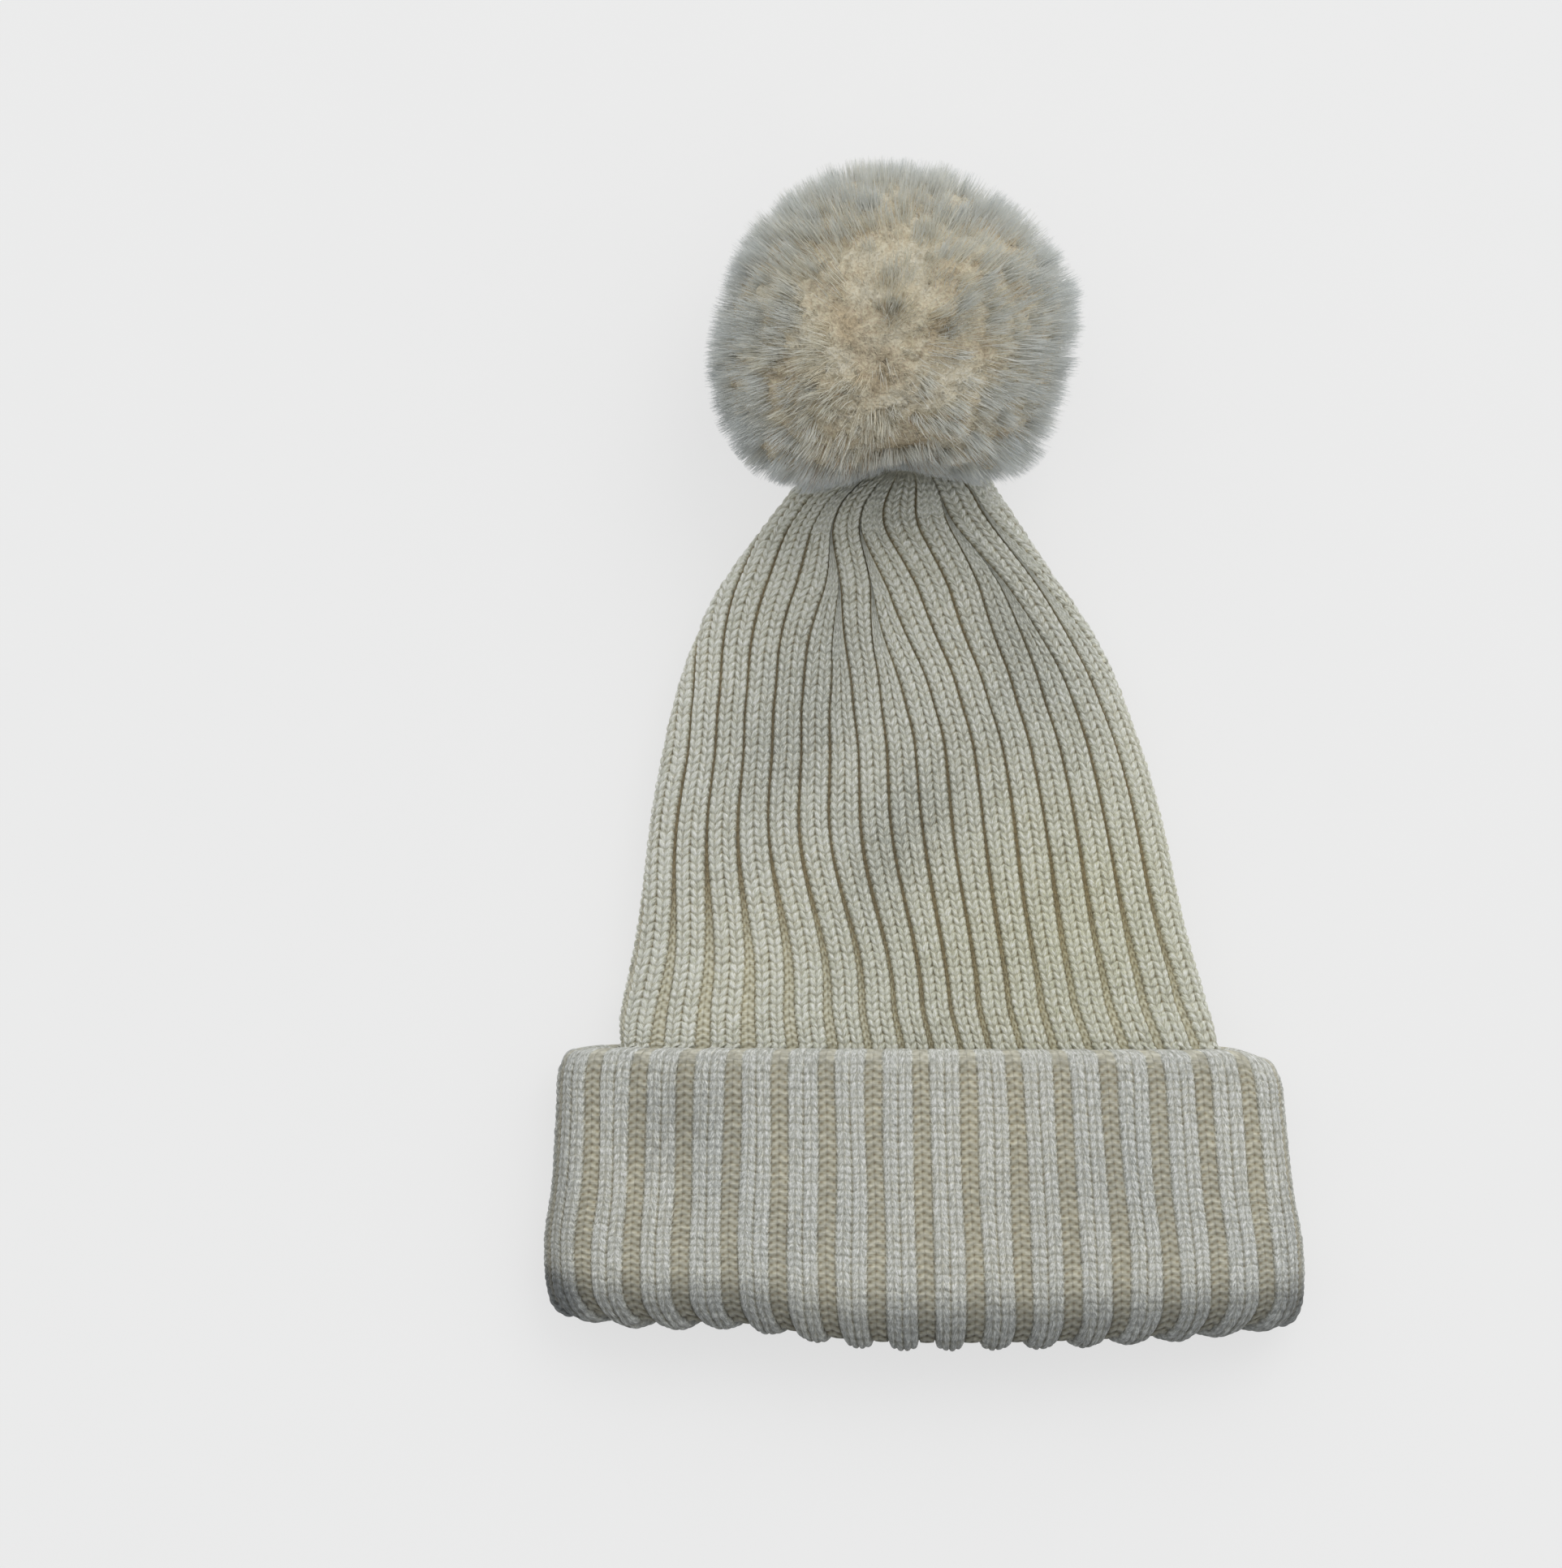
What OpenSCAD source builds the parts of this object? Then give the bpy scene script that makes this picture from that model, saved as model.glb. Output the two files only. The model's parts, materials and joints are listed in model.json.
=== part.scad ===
// Pom pom beanie, lying flat: a ribbed, fully fashioned knit with a deep turn-up cuff
// and a faux-fur pom that is held on the crown by a press stud.
// +Y runs from the head opening to the pom, +Z is up from the surface that it lies on.

/* [Knitted body] */
// Width of the flat body just above the cuff
body_w = 164.5; // [120:0.5:205]
// Length of the knit from the fold to the crown closure
knit_len = 246; // [190:1:300]
// Thickness of the flat body, both layers and the air between them
body_t = 24; // [18:1:34]
// Thickness of the ribbed fabric
wall = 3.5; // [2:0.25:5]
// How much wider the body is at the fold than above the cuff
fold_flare = 24.5; // [0:0.5:40]
// Thickness of the flat body inside the cuff
fold_t = 20.4; // [16:0.2:30]
// Height of the body's underside above the surface
body_lift = 0.6; // [0.3:0.1:3]

/* [Turn-up cuff] */
// Height of the turn-up
cuff_h = 84; // [50:1:110]
// Thickness of the turned-up layer
cuff_wall = 4.5; // [3:0.25:7]
// Room between the cuff and the body at each side
cuff_room = 4; // [1:0.5:10]
// Height of the fold at the hat's edge, below the end of the body's wall
fold_h = 8; // [5:0.5:14]
// Gap that keeps the cuff clear of the body
cuff_gap = 0.3; // [0.2:0.05:1]
// Radius of the fold's outer edge
fold_r = 5; // [1:0.5:7]

/* [Crown] */
// Radius of the hole that the gathered tip closes
crown_hole_r = 8; // [7.6:0.1:9]
// Width of the rim of knit round that hole
crown_rim = 2; // [1:0.5:4]
// Gap between the gathered tip and the rim
tip_gap = 0.4; // [0.3:0.05:1]
// Thickness of the felt patch inside the crown
patch_t = 1.2; // [0.6:0.1:2]
// Thickness of the draw threads
thread_d = 0.7; // [0.4:0.05:0.8]

/* [Seam and label] */
// Thickness of the linked seam down the centre back
seam_d = 1.6; // [1:0.1:2.4]
// Width of the blank care label
label_w = 22; // [12:1:35]
// Length of the blank care label
label_l = 28; // [15:1:40]
// Thickness of the folded care label
label_t = 0.8; // [0.4:0.1:1.2]

/* [Press stud] */
// Radius of the stud's flange and of the eyelet's
flange_r = 5; // [4.5:0.25:5.5]
// Thickness of the sheet-metal flanges
flange_t = 0.8; // [0.5:0.05:1.2]
// Radius of the stud's head
head_r = 3.3; // [2.5:0.1:3.8]
// Height of the stud's head above its flange
head_h = 3.2; // [2.4:0.1:4]
// Radius of the eyelet's barrel and of the cap's
barrel_r = 2; // [1.2:0.1:2.2]
// Radius of the socket and of the cap
socket_r = 6.5; // [6:0.25:7.5]
// Gap between the stud and the socket
snap_gap = 0.3; // [0.2:0.05:0.5]
// Radial gap of the cap's barrel in the washer
swivel_gap = 0.08; // [0.02:0.01:0.1]
// Wire thickness of the socket's spring
spring_d = 0.6; // [0.4:0.05:0.7]

/* [Pom] */
// Diameter of the stuffed ball under the fur
ball_d = 48; // [36:1:60]
// Length of the fur at the pom's sides
pile_side = 24; // [14:1:34]
// Length of the fur at the pom's far end
pile_top = 32; // [18:1:40]
// Thickness of the fur's backing fabric
backing_t = 1.5; // [1:0.1:2.5]
// Radius of the washer in the pom's base
washer_r = 12; // [11:0.5:14]
// Thickness of that washer
washer_t = 1.2; // [0.8:0.1:2]
// Lean of the pom's axis above the surface, in degrees
pom_lean = 38; // [30:1:45]
// Slope of the pom's base, which lets the pom tip sideways, in degrees
base_slope = 22; // [20:1:28]
// Height of the pom's lowest point above the surface
pom_lift = 0.2; // [0.1:0.1:2]

/* [Hidden] */

knit_colour = [0.74, 0.74, 0.69];
cuff_colour = [0.70, 0.70, 0.67];
fur_colour = [0.78, 0.77, 0.73];
metal_colour = [0.72, 0.72, 0.70];

touch = 0.05;             // gap between pieces that are fixed to each other
around = 48;              // points round each ring of the knitted body
round_fn = 96;            // sides of round parts
arc_steps = 24;           // steps along the pom's profile

// Cuff and body widths, from the inside outwards
fold_w = body_w + fold_flare;
cuff_w = fold_w + 2 * (cuff_wall + cuff_room);
cuff_t = fold_t + 2 * (cuff_wall + cuff_gap);
pocket_w = cuff_w - 2 * cuff_wall;
pocket_t = cuff_t - 2 * cuff_wall;
mouth_w = fold_w - 2 * wall;
mouth_t = fold_t - 2 * wall;
body_z = body_lift + body_t / 2;
wall_start = fold_h + cuff_gap;

// Heights along the pom's axis, counted from the outer face of the crown's rim
head_top = flange_t + head_h;
socket_base = flange_t + snap_gap;
socket_top = head_top + 2 * snap_gap + 0.4;
washer_base = socket_top + 2 * touch;
washer_top = washer_base + washer_t;
cap_top = washer_top + 2 * touch + flange_t;
cap_hole_r = socket_r + 0.5;
ball_r = ball_d / 2;
ball_u = washer_top + ball_r;

// The fur's outer shape is an ellipse turned round the pom's axis
fur_base_u = 2;
fur_top_u = ball_u + ball_r + pile_top;
fur_mid_u = (fur_top_u + fur_base_u) / 2;
fur_half_u = (fur_top_u - fur_base_u) / 2;
fur_r = ball_r + pile_side;
fur_hole_r = washer_r + 4 * touch;

// The pom rests on the surface, and that sets the height of the crown closure
fur_half_y = sqrt(pow(fur_half_u * cos(pom_lean), 2) + pow(fur_r * sin(pom_lean), 2));
fur_half_z = sqrt(pow(fur_half_u * sin(pom_lean), 2) + pow(fur_r * cos(pom_lean), 2));
crown_z = pom_lift + fur_half_z - fur_mid_u * sin(pom_lean);
total_len = knit_len + fur_mid_u * cos(pom_lean) + fur_half_y;
rim_r = crown_hole_r + crown_rim;

// Body above the cuff: [share of the length above the cuff, share of body_w, share of body_t]
crown_rows = [
    [0.09, 0.965, 1.00], [0.26, 0.895, 1.00], [0.42, 0.840, 1.00], [0.50, 0.800, 1.00],
    [0.58, 0.755, 1.00], [0.66, 0.695, 1.00], [0.74, 0.615, 0.99], [0.81, 0.525, 0.99],
    [0.87, 0.435, 1.01], [0.91, 0.360, 1.03], [0.95, 0.270, 1.06]];
bend_start = 0.6;

// One ring: [y, z, lean, half width, half thickness, roundness]
function cuff_ring(y) =
    let (w = fold_w + (body_w - fold_w) * (y - wall_start) / (cuff_h - wall_start))
    [y, cuff_t / 2, 0, w / 2, fold_t / 2, 3];
function bend(s) = max(0, (s - bend_start) / (1 - bend_start));
function crown_ring(row) =
    let (q = bend(row[0]))
    [cuff_h + (knit_len - cuff_h) * row[0], body_z + (crown_z - body_z) * q * q,
     pom_lean * pow(q, 3), row[1] * body_w / 2, row[2] * body_t / 2, 3 - q];
function rim_ring(u, r) =
    [knit_len + u * cos(pom_lean), crown_z + u * sin(pom_lean), pom_lean, r, r, 2];
function inset(ring) = [ring[0], ring[1], ring[2], ring[3] - wall, ring[4] - wall, ring[5]];

body_rings = concat([for (k = [0 : 3]) cuff_ring(wall_start + (cuff_h - wall_start) * k / 3)],
                    [for (row = crown_rows) crown_ring(row)]);

// A point of a ring: a superellipse in a plane that leans with the ring
function power(v, n) = sign(v) * pow(abs(v), 2 / n);
function ring_point(ring, a) =
    let (x = ring[3] * power(cos(a), ring[5]), h = ring[4] * power(sin(a), ring[5]))
    [x, ring[0] - h * sin(ring[2]), ring[1] + h * cos(ring[2])];

// Rings joined side by side, with the last one joined to the first
module ring_loop(rings) {
    n = len(rings);
    points = [for (ring = rings, j = [0 : around - 1]) ring_point(ring, 360 * j / around)];
    function at(i, j) = (i % n) * around + j % around;
    faces = [for (i = [0 : n - 1], j = [0 : around - 1], half = [0, 1])
        half == 0 ? [at(i, j), at(i, j + 1), at(i + 1, j + 1)]
                  : [at(i, j), at(i + 1, j + 1), at(i + 1, j)]];
    polyhedron(points, faces, convexity = 8);
}

// The row frame has its origin under the middle of the hat's whole length
module placed() { translate([0, -total_len / 2, 0]) children(); }

// Frame of the crown closure, with Z along the pom's axis
module on_crown() {
    placed() translate([0, knit_len, crown_z]) rotate([pom_lean - 90, 0, 0]) children();
}

module disc(r, low, high, bore = 0) {
    translate([0, 0, low]) difference() {
        cylinder(h = high - low, r = r, $fn = round_fn);
        if (bore > 0) translate([0, 0, -1]) cylinder(h = high - low + 2, r = bore, $fn = round_fn);
    }
}

module thread_ring(r, u, d, turn = 360) {
    rotate_extrude(angle = turn, $fn = round_fn)
        translate([r, u]) circle(d = d, $fn = 24);
}

// Outline of a flat tube, lying in X and Y
module stadium(w, t) {
    union() {
        square([w - t, t], center = true);
        for (side = [-1, 1]) translate([side * (w - t) / 2, 0]) circle(d = t, $fn = round_fn);
    }
}

// A flat tube along Y, from one distance from the fold to another
module flat_tube(w, t, from, to) {
    translate([0, to, cuff_t / 2]) rotate([90, 0, 0])
        linear_extrude(height = to - from) stadium(w, t);
}

module knit_body() {
    outer = concat(body_rings, [rim_ring(-crown_rim, rim_r + crown_rim / 2), rim_ring(0, rim_r)]);
    inner = concat([rim_ring(0, crown_hole_r), rim_ring(-wall, crown_hole_r)],
                   [for (k = [len(body_rings) - 1 : -1 : 0]) inset(body_rings[k])]);
    color(knit_colour) placed() ring_loop(concat(outer, inner));
}

// The linked seam lies along the inside of the back layer
module back_seam() {
    seam_sides = 8;
    rings = [for (ring = body_rings) let (low = ring[4] - wall - seam_d / 2 - 2 * touch)
        [ring[0] + low * sin(ring[2]), ring[1] - low * cos(ring[2])]];
    n = len(rings);
    points = [for (c = rings, j = [0 : seam_sides - 1])
        [seam_d / 2 * cos(360 * j / seam_sides), c[0], c[1] + seam_d / 2 * sin(360 * j / seam_sides)]];
    function at(i, j) = i * seam_sides + j % seam_sides;
    sides = [for (i = [0 : n - 2], j = [0 : seam_sides - 1], half = [0, 1])
        half == 0 ? [at(i, j), at(i, j + 1), at(i + 1, j + 1)]
                  : [at(i, j), at(i + 1, j + 1), at(i + 1, j)]];
    ends = [[for (j = [seam_sides - 1 : -1 : 0]) at(0, j)],
            [for (j = [0 : seam_sides - 1]) at(n - 1, j)]];
    color(knit_colour) placed() polyhedron(points, concat(sides, ends), convexity = 8);
}

module care_label() {
    color("white") placed()
        translate([seam_d + 2, wall_start + 3, cuff_t / 2 - mouth_t / 2 + 3 * touch])
            cube([label_w, label_l, label_t]);
}

module turn_up_cuff() {
    color(cuff_colour) placed() difference() {
        intersection() {
            flat_tube(cuff_w, cuff_t, 0, cuff_h);
            fold_side_view();
        }
        flat_tube(mouth_w, mouth_t, -1, cuff_h);
        flat_tube(pocket_w, pocket_t, fold_h, cuff_h + 1);
    }
}

// Side view of the cuff, with the fold's edge rounded
module fold_side_view() {
    translate([-cuff_w / 2 - 1, 0, 0]) rotate([90, 0, 90]) linear_extrude(height = cuff_w + 2) {
        translate([fold_r, 0]) square([cuff_h - fold_r, cuff_t]);
        translate([0, fold_r]) square([cuff_h, cuff_t - 2 * fold_r]);
        for (z = [fold_r, cuff_t - fold_r]) translate([fold_r, z]) circle(r = fold_r, $fn = round_fn);
    }
}

// The stitches drawn together at the tip, round-edged so that they can tip in the rim
module crown_gather() {
    tip_r = crown_hole_r - tip_gap;
    edge = asin(wall / 2 / tip_r);
    rim = [for (k = [0 : 8]) let (a = edge * (k / 4 - 1))
        [tip_r * cos(a), tip_r * sin(a) - wall / 2]];
    color(knit_colour) on_crown() rotate_extrude($fn = round_fn)
        polygon(concat([[barrel_r + touch, 0], [barrel_r + touch, -wall]], rim));
}

module crown_draw_thread() {
    color(knit_colour) on_crown()
        thread_ring(flange_r + thread_d / 2 + 2 * touch, thread_d / 2 + touch, thread_d);
}

module crown_patch() {
    patch_r = sqrt(pow(crown_hole_r - tip_gap, 2) - pow(wall / 2 + patch_t, 2));
    color("gray") on_crown() disc(patch_r, -wall - patch_t, -wall, barrel_r + touch);
}

module snap_eyelet() {
    back = -wall - patch_t - flange_t;
    color(metal_colour) on_crown() difference() {
        union() {
            disc(flange_r, back, back + flange_t);
            disc(barrel_r, back, flange_t + 0.4);
        }
        translate([0, 0, back - 1]) cylinder(h = 20, r = barrel_r - 0.5, $fn = round_fn);
    }
}

module snap_stud() {
    neck_r = head_r - 0.4;
    neck_h = 1;
    color(metal_colour) on_crown() rotate_extrude($fn = round_fn) polygon([
        [barrel_r + touch, 0], [flange_r, 0], [flange_r, flange_t], [neck_r, flange_t],
        [neck_r, flange_t + neck_h], [head_r, flange_t + neck_h + 0.3], [head_r, head_top - 0.7],
        [head_r - 0.7, head_top], [0, head_top], [0, head_top - 0.8],
        [barrel_r + touch, head_top - 0.8]]);
}

module snap_socket() {
    well_r = head_r + snap_gap + 0.1;
    groove_r = well_r + spring_d + 0.1;
    groove_u = socket_base + 0.35;
    roof = head_top + snap_gap;
    edge = 0.4;
    color(metal_colour) on_crown() rotate_extrude($fn = round_fn) polygon([
        [well_r, socket_base], [socket_r - edge, socket_base], [socket_r, socket_base + edge],
        [socket_r, socket_top - edge], [socket_r - edge, socket_top], [0, socket_top], [0, roof],
        [well_r, roof], [well_r, groove_u + spring_d + 0.1], [groove_r, groove_u + spring_d + 0.1],
        [groove_r, groove_u], [well_r, groove_u]]);
}

// A split ring of spring wire in the socket's groove
module socket_spring() {
    color(metal_colour) on_crown()
        thread_ring(head_r + snap_gap + 0.15 + spring_d / 2,
                    socket_base + 0.4 + spring_d / 2, spring_d, 345);
}

// The rivet that holds the socket to the washer and lets the pom turn
module snap_cap() {
    color(metal_colour) on_crown() union() {
        disc(barrel_r, socket_top, cap_top);
        disc(socket_r, cap_top - flange_t, cap_top);
    }
}

module pom_washer() {
    color("white") on_crown() disc(washer_r, washer_base, washer_top, barrel_r + swivel_gap);
}

// Quarter turns of the ball's outline, from under its side up to its far end
function ball_arc(r) = [for (k = [0 : arc_steps]) let (a = -50 + 140 * k / arc_steps)
    [r * cos(a), ball_u + r * sin(a)]];
function reversed(list) = [for (k = [len(list) - 1 : -1 : 0]) list[k]];

module pom_backing() {
    inner_r = ball_r - backing_t;
    floor_u = washer_top + backing_t;
    color(fur_colour) on_crown() rotate_extrude($fn = round_fn) polygon(concat(
        [[cap_hole_r, washer_top], [washer_r, washer_top]], ball_arc(ball_r),
        reversed(ball_arc(inner_r)), [[washer_r - backing_t, floor_u], [cap_hole_r, floor_u]]));
}

module pom_stuffing() {
    floor_u = washer_top + backing_t + touch;
    color("white") on_crown() rotate_extrude($fn = round_fn) polygon(concat(
        [[0, floor_u], [washer_r - backing_t, floor_u]], ball_arc(ball_r - backing_t - touch)));
}

// The fur's outer shape, from its sloping base to its far end
module pom_fur() {
    function cone_u(r) = snap_gap + r * tan(base_slope);
    outline = [for (k = [0 : 2 * arc_steps]) let (a = -90 + 180 * k / (2 * arc_steps))
        [fur_r * cos(a), fur_mid_u + fur_half_u * sin(a)]];
    beyond = [for (p = outline) if (p[0] > fur_hole_r && p[1] > cone_u(p[0])) p];
    color(fur_colour) on_crown() rotate_extrude($fn = round_fn) polygon(concat(
        [[fur_hole_r, cone_u(fur_hole_r)]], beyond, [[0, fur_top_u]],
        reversed(ball_arc(ball_r)), [[fur_hole_r, washer_top + 2 * touch]]));
}

module pom_draw_thread() {
    color(fur_colour) on_crown()
        thread_ring(washer_r - 2.5, washer_base - thread_d / 2 - touch, thread_d);
}

knit_body();
back_seam();
care_label();
turn_up_cuff();
crown_gather();
crown_draw_thread();
crown_patch();
snap_eyelet();
snap_stud();
snap_socket();
socket_spring();
snap_cap();
pom_washer();
pom_backing();
pom_stuffing();
pom_fur();
pom_draw_thread();
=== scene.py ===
"""Pom pom beanie, lying flat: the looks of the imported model.

Lengths are in millimetres until a mesh is made. The knit is a grid of points: its columns run
along the wales, and its rows along the courses. A distance d is measured up the hat from the
fold of its turn-up.
"""

import json
import math

import bpy
import numpy as np
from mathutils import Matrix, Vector


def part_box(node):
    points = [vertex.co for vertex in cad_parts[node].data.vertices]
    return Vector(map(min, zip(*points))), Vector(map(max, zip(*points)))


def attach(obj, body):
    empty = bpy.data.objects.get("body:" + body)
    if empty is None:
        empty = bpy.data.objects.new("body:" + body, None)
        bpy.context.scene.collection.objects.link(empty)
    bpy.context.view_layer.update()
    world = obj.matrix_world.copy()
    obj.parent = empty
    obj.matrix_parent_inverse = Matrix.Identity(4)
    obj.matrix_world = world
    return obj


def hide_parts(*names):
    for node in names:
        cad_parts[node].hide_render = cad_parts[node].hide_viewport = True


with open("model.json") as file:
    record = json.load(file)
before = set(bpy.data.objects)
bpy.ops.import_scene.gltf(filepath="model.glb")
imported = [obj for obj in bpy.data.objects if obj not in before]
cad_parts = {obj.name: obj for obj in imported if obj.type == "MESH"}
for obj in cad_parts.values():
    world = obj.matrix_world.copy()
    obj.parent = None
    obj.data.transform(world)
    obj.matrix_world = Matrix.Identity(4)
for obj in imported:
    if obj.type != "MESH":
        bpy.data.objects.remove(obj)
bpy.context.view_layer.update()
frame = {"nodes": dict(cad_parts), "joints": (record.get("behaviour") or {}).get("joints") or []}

MM = 0.001


def node_box(name):
    """The lowest and highest corners of a CAD node."""
    low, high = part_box(name)
    return np.array(low) / MM, np.array(high) / MM


def joint(name):
    return next(j for j in frame["joints"] if j["name"] == name)


# ---------------------------------------------------------------- sizes taken from the frame
cuff_low, cuff_high = node_box("turn_up_cuff")
body_low, body_high = node_box("knit_body")
fur_low, fur_high = node_box("pom_fur")

FOLD_Y = cuff_low[1]
CUFF_H = cuff_high[1] - cuff_low[1]
CUFF_HALF_W = cuff_high[0]
CUFF_HALF_T = (cuff_high[2] - cuff_low[2]) / 2
CUFF_Z = (cuff_high[2] + cuff_low[2]) / 2
AXIS = np.array(joint("pom_spin")["axis"], float)
CLOSURE = np.array(joint("pom_spin")["pos_m"], float) / MM
KNIT_LEN = CLOSURE[1] - FOLD_Y
LEAN = math.asin(AXIS[2])

# ---------------------------------------------------------------- sizes that match the CAD's
WALL = 3.5                  # the body's knit
CUFF_WALL = 4.5             # the turned-up knit
CUFF_GAP = 0.3              # between the turn-up and the body under it
BODY_HALF_W = 82.25
BODY_HALF_T = 12.0
BODY_Z = body_low[2] + BODY_HALF_T
HIDDEN_HALF_T = CUFF_HALF_T - CUFF_WALL - CUFF_GAP
BODY_START = body_low[1] - FOLD_Y
HIDDEN_HALF_W = body_high[0]
HOLE_R = 8.0                # the hole that the crown's tip fills

# ---------------------------------------------------------------- knit
RIBS = 34                   # round the whole hat
K_COLS = 10                 # columns across one knit wale
P_COLS = 6                  # columns across one purl wale
PERIOD = 2 * (K_COLS + P_COLS)
COURSE = 2.25               # one row of stitches
ROWS_PER_COURSE = 6
STEP = COURSE / ROWS_PER_COURSE
COURSES_DRAWN = 400         # courses that have random numbers of their own
BODY_GORES = 6              # meshes that the body is made as
CUFF_GORES = 4

rng = np.random.default_rng(11)


def smooth(x):
    """0 below 0, 1 above 1, and a smooth step between."""
    x = np.clip(x, 0, 1)
    return x * x * (3 - 2 * x)


def bell(x, width):
    return np.exp(-(x / width) ** 2)


def unit(v):
    return v / np.linalg.norm(v, axis=-1, keepdims=True)


def near(t, phase, width):
    """1 where the course's phase t is at phase, falling to 0 either side."""
    gap = np.abs((t - phase + 0.5) % 1.0 - 0.5)
    return np.exp(-(gap / width) ** 2)


def curve(*points):
    """A smooth curve through points, as a function."""
    x, y = np.array(points, float).T
    slope = np.gradient(y, x)

    def at(v):
        v = np.clip(v, x[0], x[-1])
        i = np.clip(np.searchsorted(x, v, side="right") - 1, 0, len(x) - 2)
        h = x[i + 1] - x[i]
        t = (v - x[i]) / h
        return ((1 + 2 * t) * (1 - t) ** 2 * y[i] + t * (1 - t) ** 2 * h * slope[i]
                + t * t * (3 - 2 * t) * y[i + 1] + t * t * (t - 1) * h * slope[i + 1])
    return at


# Shares of the body's width and thickness, and its shift across the hat, at shares of the
# length above the turn-up
body_width = curve((0, 0.993), (0.09, 0.955), (0.17, 0.915), (0.25, 0.885), (0.34, 0.857),
                   (0.42, 0.826), (0.5, 0.786), (0.58, 0.738), (0.66, 0.677), (0.75, 0.584),
                   (0.83, 0.477), (0.905, 0.372), (0.95, 0.30), (0.985, 0.20), (1.0, 0.122))
body_thick = curve((0, 1), (0.6, 1), (0.8, 0.99), (0.9, 1.02), (0.95, 1.04), (0.985, 0.93),
                   (1, 0.83))
crown_shift = curve((0, -1.6), (0.1, -1.5), (0.58, -3.3), (0.83, -4.9), (0.93, -3.2), (1, -0.5))
# Shares of the turn-up's width at shares of its height
cuff_width = curve((0, 0.97), (0.1, 0.99), (0.3, 0.997), (0.55, 0.973), (0.8, 0.957),
                   (0.93, 0.948), (1, 0.93))

# Soft oval patches: size, (centre, reach) across, (centre, reach) along, and their
# (narrowing, slant, pivot), which lean them
UPRIGHT = (1.0, 0.0, 0.0)
FRONT_WAVES = (
    (1.6, (-36, 14), (172, 34), (0.8, 0.35, 178)),
    (1.5, (-4, 13), (138, 30), (0.9, 0.5, 138)),
    (1.2, (26, 12), (198, 26), (0.9, -0.3, 196)),
    (-1.2, (42, 20), (128, 30), UPRIGHT),
    (-0.8, (-12, 18), (205, 22), UPRIGHT),
)
CUFF_WAVES = (
    (0.9, (-56, 16), (66, 16), UPRIGHT),
    (0.7, (30, 22), (30, 22), UPRIGHT),
)
WARM_KNIT = (
    (0.27, (48, 40), (118, 44), UPRIGHT),
    (0.12, (-10, 60), (105, 30), UPRIGHT),
)
# Painted shade: darker patches over the front's dips; the last row is a painted shadow under the
# pom.
KNIT_SHADE_PATCHES = (
    (1.0, (-30, 14), (172, 32), (0.8, 0.35, 172)),
    (1.0, (-4, 13), (140, 26), (0.9, 0.5, 140)),
    (1.0, (28, 11), (198, 26), (0.9, -0.3, 196)),
    (0.8, (-6, 9), (226, 7), UPRIGHT),
)
# Painted shade: darker patches over the turn-up's dips.
CUFF_SHADE_PATCHES = (
    (0.3, (-66, 14), (66, 14), UPRIGHT),
    (0.08, (40, 30), (40, 20), UPRIGHT),
)
CUFF_TILT = 0.028           # the turn-up lies a little askew


def patches(x, v, table):
    """The sum of a table's patches, v being the distance from the fold."""
    total = 0.0
    for size, (x0, x_reach), (v0, v_reach), (narrow, slant, pivot) in table:
        across = bell((x - x0) * narrow - (v - pivot) * slant, x_reach)
        total = total + size * across * bell(v - v0, v_reach)
    return total


class Section:
    """Flat-tube cross sections of a shell, one for each row.

    Each has its half width, half thickness, height z, shift x, lean, how square it is (power),
    and how much of its girth counts as thickness when columns are spread (flatten).
    """

    def __init__(self, d, **shape):
        self.d = np.asarray(d, float)
        for name, value in shape.items():
            setattr(self, name, np.broadcast_to(np.asarray(value, float), self.d.shape).copy())


def body_sections(d, inset=0.0):
    """Sections of the knitted body at distances d from the fold."""
    s = (d - CUFF_H) / (KNIT_LEN - CUFF_H)
    inside = 1 - smooth((d - CUFF_H + 2) / 14)
    rise = np.clip((s - 0.6) / 0.4, 0, 1)
    open_w = BODY_HALF_W * body_width(s)
    widening = BODY_HALF_W - HIDDEN_HALF_W
    hidden_w = HIDDEN_HALF_W + widening * (d - BODY_START) / (CUFF_H - BODY_START)
    half_w = np.where(s > 0, open_w, hidden_w)
    half_t = BODY_HALF_T * body_thick(s) * (1 - inside) + HIDDEN_HALF_T * inside
    z = (BODY_Z + (CLOSURE[2] - BODY_Z) * rise * rise) * (1 - inside) + CUFF_Z * inside
    return Section(d, half_w=half_w - inset, half_t=half_t - inset, z=z, lean=LEAN * rise ** 3,
                   power=3.0 - 1.0 * rise + 0.6 * inside, flatten=0.35 + 0.25 * inside,
                   x=crown_shift(s) * (1 - inside))


def drape(points, d, front, cuff_part):
    """Bows the fold, drops the turn-up's corners, and lays soft waves on the front."""
    x, y, z = points[..., 0], points[..., 1], points[..., 2]
    near_fold = 1 - smooth(d / 55)
    bow = np.where(x < 0, 8.6, 6.4) * (np.abs(x) / 100) ** 2.2 + 3.4 * bell(x + 50, 22)
    y = y + bow * near_fold * cuff_part
    corner = smooth((np.abs(x) - 82) / 16) * smooth((d - 66) / 18)
    y = y - np.where(x < 0, 1.2, 3.4) * corner * cuff_part
    y = y - CUFF_TILT * x * cuff_part * (1 - 0.6 * smooth((d - CUFF_H) / 12))
    v = y - FOLD_Y
    z = z - patches(x, v, FRONT_WAVES) * front * (1 - cuff_part)
    z = z - patches(x, v, CUFF_WAVES) * front * cuff_part
    return np.stack([x, y, z], -1)


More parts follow.
